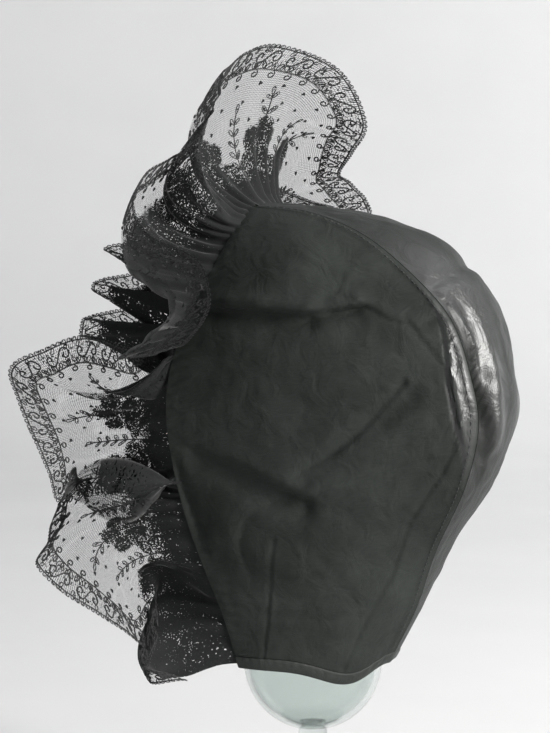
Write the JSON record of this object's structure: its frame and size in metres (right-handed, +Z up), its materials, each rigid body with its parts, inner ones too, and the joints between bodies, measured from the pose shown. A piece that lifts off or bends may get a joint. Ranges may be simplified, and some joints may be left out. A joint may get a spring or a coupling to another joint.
{
  "type": "lace-trimmed silk cap on a glass stand",
  "caption": "Soft black silk cap with a crown gusset and a deep fluted lace frill round the face, resting on a footed clear glass stand.",
  "frame": {"origin": "middle of the underside of the stand's foot", "axes": "+Z up along the stand's axis, -X the way the wearer's face looks, -Y the wearer's left"},
  "size_m": [0.2683, 0.2813, 0.4374],
  "materials": {
    "silk": "plain black silk with a faint sheen",
    "lace": "black machine lace on fine net",
    "glass": "clear and smooth"
  },
  "bodies": {
    "root": {"side_panel_left": "silk", "side_panel_right": "silk", "crown_gusset": "silk", "neck_hem": "silk", "lace_frill": "lace", "glass_stand": "glass"}
  },
  "joints": []
}
